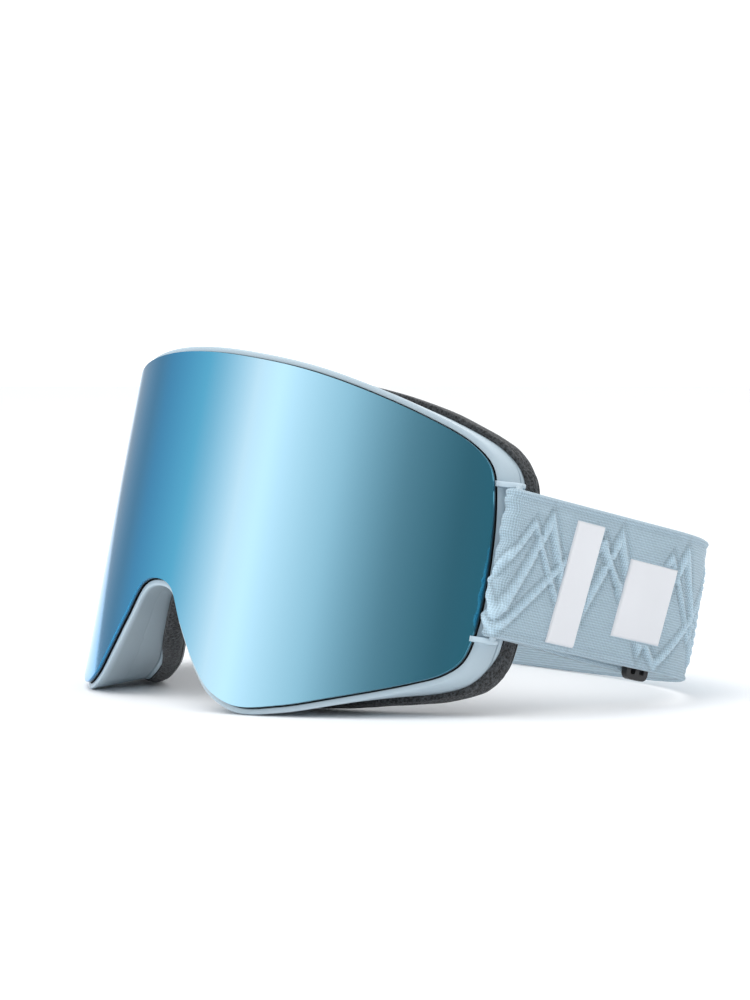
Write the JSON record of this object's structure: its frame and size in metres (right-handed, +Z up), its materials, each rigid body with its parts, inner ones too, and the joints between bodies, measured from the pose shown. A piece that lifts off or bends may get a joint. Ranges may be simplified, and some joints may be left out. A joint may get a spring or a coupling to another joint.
{
  "type": "ski goggles",
  "caption": "Frameless-look ski goggles: cylindrical mirrored lens held by magnets, moulded frame, layered face foam and an adjustable knit head strap.",
  "frame": {"origin": "bottom centre of the bounding box, on the surface that the goggles lie on", "axes": "+X towards the wearer's left, +Y towards the back of the head, +Z up; the goggles lie leaning back by 13 degrees"},
  "size_m": [0.188, 0.1632, 0.1043],
  "materials": {
    "mirror_lens": "polished blue mirror coating on polycarbonate",
    "clear_lens": "clear anti-fog sheet",
    "black_plastic": "satin black moulded plastic",
    "frame_plastic": "satin pale blue-grey moulded polyurethane",
    "steel": "plated",
    "foam": "open-cell dark grey foam",
    "fleece": "brushed dark microfleece",
    "knit_strap": "woven elastic with a raised knit pattern",
    "silicone": "satin silicone bead"
  },
  "bodies": {
    "frame": {"vent_foam_brow": "foam", "vent_foam_cheek_left": "foam", "vent_foam_cheek_right": "foam", "base_foam": "foam", "middle_foam": "foam", "front_rim": "frame_plastic", "frame_shell": "frame_plastic", "face_flange": "frame_plastic", "strap_bracket_left": "frame_plastic", "strap_bracket_right": "frame_plastic", "frame_magnet_1": "steel", "frame_magnet_2": "steel", "frame_magnet_3": "steel", "frame_magnet_4": "steel", "frame_magnet_5": "steel", "frame_magnet_6": "steel", "fleece_lining": "fleece", "strap_band": "knit_strap", "grip_strip_lower": "silicone", "grip_strip_upper": "silicone"},
    "lens": {"outer_lens": "mirror_lens", "lens_gasket": "foam", "inner_lens": "clear_lens", "lens_carrier": "black_plastic", "lens_keeper_1": "steel", "lens_keeper_2": "steel", "lens_keeper_3": "steel", "lens_keeper_4": "steel", "lens_keeper_5": "steel", "lens_keeper_6": "steel"},
    "adjuster_left": {"strap_slider_left": "black_plastic", "strap_end_left": "knit_strap"},
    "adjuster_right": {"strap_slider_right": "black_plastic", "strap_end_right": "knit_strap"}
  },
  "joints": [
    {"name": "lens_lift", "type": "slide", "parent": "frame", "child": "lens", "axis": [0, -0.9744, 0.225], "range_m": [0, 0.06]},
    {"name": "adjuster_left_slide", "type": "slide", "parent": "frame", "child": "adjuster_left", "axis": [0, -0.9744, 0.225], "range_m": [0, 0.012]},
    {"name": "adjuster_right_slide", "type": "slide", "parent": "frame", "child": "adjuster_right", "axis": [0, -0.9744, 0.225], "range_m": [0, 0.012]}
  ]
}
